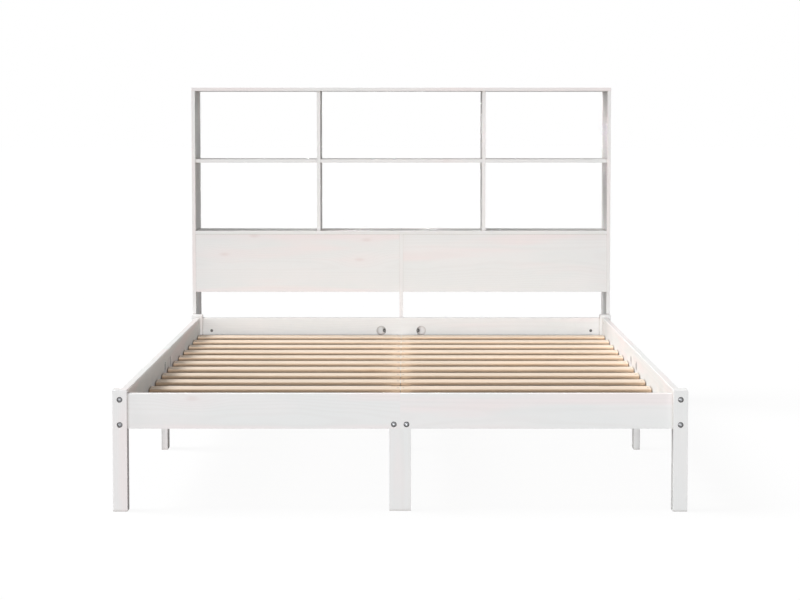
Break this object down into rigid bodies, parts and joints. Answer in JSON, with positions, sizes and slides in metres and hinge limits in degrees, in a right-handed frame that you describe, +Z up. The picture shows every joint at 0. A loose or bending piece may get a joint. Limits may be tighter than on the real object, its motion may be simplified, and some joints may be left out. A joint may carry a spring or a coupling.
{
  "type": "bookcase headboard bed",
  "caption": "Low slatted wooden bed frame on corner posts, with an open bookcase of shelves and dividers as its headboard.",
  "frame": {"origin": "on the floor, below the middle of the whole bed with its bookcase", "axes": "+Z up, +Y from the foot end to the bookcase, +X to the right of someone who stands at the foot end and looks at the bookcase"},
  "size_m": [1.455, 2.255, 1.098],
  "materials": {
    "white_stained_pine": "white-stained planed softwood, matt",
    "slat_wood": "pale bare planed wood, matt",
    "beech": "bare turned wood",
    "zinc_plated_steel": "bright zinc plate"
  },
  "bodies": {
    "root": {"post_foot_left": "white_stained_pine", "post_foot_right": "white_stained_pine", "post_head_left": "white_stained_pine", "post_head_right": "white_stained_pine", "foot_rail_left": "white_stained_pine", "foot_rail_right": "white_stained_pine", "head_rail_left": "white_stained_pine", "head_rail_right": "white_stained_pine", "side_rail_left_foot": "white_stained_pine", "side_rail_left_head": "white_stained_pine", "side_rail_right_foot": "white_stained_pine", "side_rail_right_head": "white_stained_pine", "leg_foot_middle": "white_stained_pine", "leg_head_middle": "white_stained_pine", "leg_side_left": "white_stained_pine", "leg_side_right": "white_stained_pine", "leg_beam_middle": "white_stained_pine", "centre_beam_foot": "white_stained_pine", "centre_beam_head": "white_stained_pine", "ledger_left_foot": "white_stained_pine", "ledger_left_head": "white_stained_pine", "ledger_right_foot": "white_stained_pine", "ledger_right_head": "white_stained_pine", "side_panel_left": "white_stained_pine", "side_panel_right": "white_stained_pine", "top_board": "white_stained_pine", "middle_shelf": "white_stained_pine", "bottom_shelf": "white_stained_pine", "divider_left": "white_stained_pine", "divider_right": "white_stained_pine", "centre_upright": "white_stained_pine", "head_panel_left": "white_stained_pine", "head_panel_right": "white_stained_pine", "slat_row_01": "slat_wood", "slat_row_02": "slat_wood", "slat_row_03": "slat_wood", "slat_row_04": "slat_wood", "slat_row_05": "slat_wood", "slat_row_06": "slat_wood", "slat_row_07": "slat_wood", "slat_row_08": "slat_wood", "slat_row_09": "slat_wood", "slat_row_10": "slat_wood", "slat_row_11": "slat_wood", "slat_row_12": "slat_wood", "slat_row_13": "slat_wood", "rail_bolts": "zinc_plated_steel", "beam_bolts": "zinc_plated_steel", "leg_bolts": "zinc_plated_steel", "barrel_nuts": "zinc_plated_steel", "joint_rods": "zinc_plated_steel", "hexagon_nuts": "zinc_plated_steel", "crescent_plates": "zinc_plated_steel", "linking_brackets": "zinc_plated_steel", "frame_screws": "zinc_plated_steel", "slat_screws": "zinc_plated_steel", "bookcase_screws": "zinc_plated_steel", "bracket_screws": "zinc_plated_steel", "base_dowels": "beech", "bookcase_dowels": "beech"}
  },
  "joints": []
}
